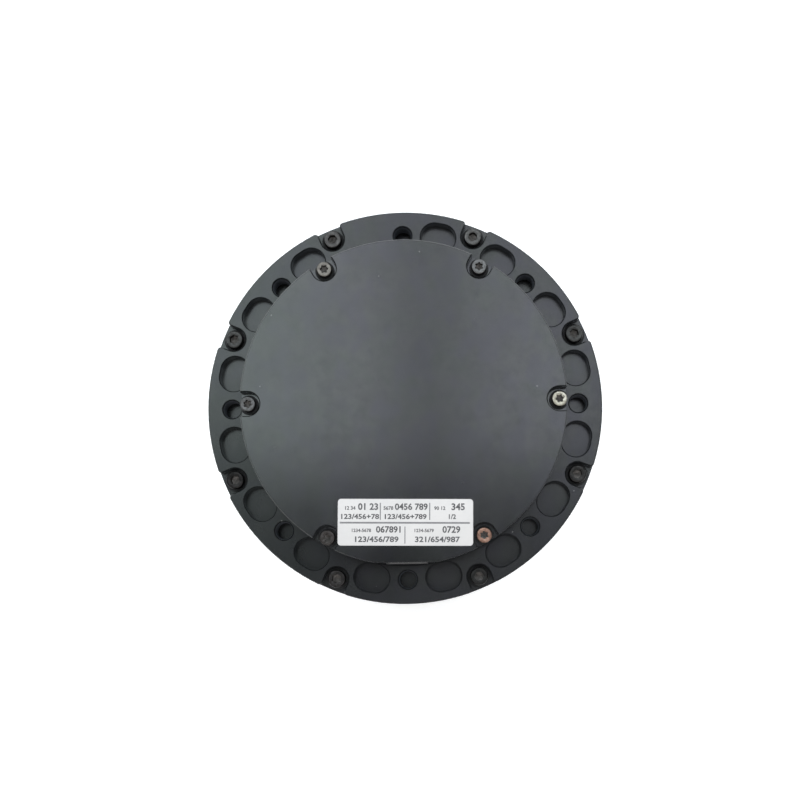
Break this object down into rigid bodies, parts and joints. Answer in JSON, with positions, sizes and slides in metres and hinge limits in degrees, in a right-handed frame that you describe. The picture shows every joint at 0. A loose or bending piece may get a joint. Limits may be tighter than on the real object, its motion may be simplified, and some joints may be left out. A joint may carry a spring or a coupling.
{
  "type": "robot joint actuator",
  "caption": "Flat round joint actuator: motor, planetary gear stage and controller in a black housing, with a flanged output on the front and a screwed rear cover.",
  "frame": {"origin": "centre of the output flange's face, at the bottom of the part", "axes": "+Z along the turning axis from the output flange to the rear cover; -Y is the connector side"},
  "size_m": [0.098, 0.098, 0.0401],
  "materials": {
    "black_anodised": "satin black anodised, machined",
    "black_anodised_cover": "satin black anodised, fine bead blast",
    "machined_aluminium": "natural machined",
    "black_oxide": "black oxide",
    "screw_steel": "plain and tarnished steel",
    "bearing_steel": "ground",
    "gear_steel": "hobbed, lightly oiled",
    "spring_steel": "phosphated",
    "rim_steel": "turned",
    "lamination": "stacked sheet, varnished",
    "ball_chrome": "polished",
    "magnet_nickel": "nickel plated",
    "copper_wire": "enamelled copper",
    "pin_brass": "gold flash",
    "washer_bronze": "sintered bronze",
    "capacitor_can": "drawn can",
    "seal_rubber": "moulded",
    "lead_silicone": "silicone sleeve",
    "pad_grey": "soft gap pad",
    "bobbin_plastic": "moulded",
    "board_mask": "solder mask",
    "chip_black": "moulded package",
    "port_plastic_dark": "moulded",
    "port_plastic_light": "moulded",
    "label_white": "printed film"
  },
  "bodies": {
    "housing": {"front_housing": "black_anodised", "rear_housing": "black_anodised", "rear_cover": "black_anodised_cover", "port_label": "label_white", "output_seal": "seal_rubber", "output_bearing_outer": "bearing_steel", "bearing_spacer": "machined_aluminium", "ring_gear": "gear_steel", "ring_gear_clip": "spring_steel", "rear_bearing_clip": "spring_steel", "stator_core": "lamination", "stator_insulator_front": "bobbin_plastic", "stator_insulator_rear": "bobbin_plastic", "stator_coils": "copper_wire", "phase_leads": "lead_silicone", "rear_bearing_outer": "bearing_steel", "housing_screws": "black_oxide", "housing_washers": "seal_rubber", "cover_screws": "screw_steel", "cover_washers": "seal_rubber", "housing_dowels": "bearing_steel", "board_screws": "screw_steel", "controller_board": "board_mask", "power_transistors": "chip_black", "thermal_pad": "pad_grey", "control_chips": "chip_black", "encoder_chip": "chip_black", "bulk_capacitors": "capacitor_can", "power_port": "port_plastic_dark", "power_pins": "pin_brass", "signal_port_left": "port_plastic_light", "signal_port_right": "port_plastic_light", "side_port_left": "port_plastic_light", "side_port_right": "port_plastic_light", "port_pins": "pin_brass"},
    "output": {"output_carrier": "machined_aluminium", "carrier_back_plate": "machined_aluminium", "carrier_screws": "black_oxide", "planet_pins": "bearing_steel", "planet_washers": "washer_bronze", "output_bearing_inner": "bearing_steel", "output_bearing_balls": "ball_chrome", "carrier_clip": "spring_steel", "front_bearing_outer": "bearing_steel"},
    "rotor": {"rotor_shaft": "gear_steel", "rotor_hub": "machined_aluminium", "rotor_rim": "rim_steel", "rotor_magnets": "magnet_nickel", "front_bearing_inner": "bearing_steel", "front_bearing_balls": "ball_chrome", "rear_bearing_inner": "bearing_steel", "rear_bearing_balls": "ball_chrome", "encoder_magnet": "magnet_nickel"},
    "planet_1": {"planet_gear_1": "gear_steel", "planet_bush_1": "washer_bronze"},
    "planet_2": {"planet_gear_2": "gear_steel", "planet_bush_2": "washer_bronze"},
    "planet_3": {"planet_gear_3": "gear_steel", "planet_bush_3": "washer_bronze"}
  },
  "joints": [
    {"name": "rotor_spin", "type": "hinge", "parent": "housing", "child": "rotor", "pos_m": [0, 0, 0.02], "axis": [0, 0, 1], "continuous": true},
    {"name": "output_spin", "type": "hinge", "parent": "housing", "child": "output", "pos_m": [0, 0, 0.01], "axis": [0, 0, 1], "continuous": true},
    {"name": "planet_1_spin", "type": "hinge", "parent": "output", "child": "planet_1", "pos_m": [0, 0.0144, 0.0175], "axis": [0, 0, 1], "continuous": true},
    {"name": "planet_2_spin", "type": "hinge", "parent": "output", "child": "planet_2", "pos_m": [-0.01247, -0.0072, 0.0175], "axis": [0, 0, 1], "continuous": true},
    {"name": "planet_3_spin", "type": "hinge", "parent": "output", "child": "planet_3", "pos_m": [0.01247, -0.0072, 0.0175], "axis": [0, 0, 1], "continuous": true}
  ],
  "couplings": [
    {"joint": "output_spin", "follows": "rotor_spin", "ratio": 0.16667},
    {"joint": "planet_1_spin", "follows": "rotor_spin", "ratio": -0.41667},
    {"joint": "planet_2_spin", "follows": "rotor_spin", "ratio": -0.41667},
    {"joint": "planet_3_spin", "follows": "rotor_spin", "ratio": -0.41667}
  ]
}
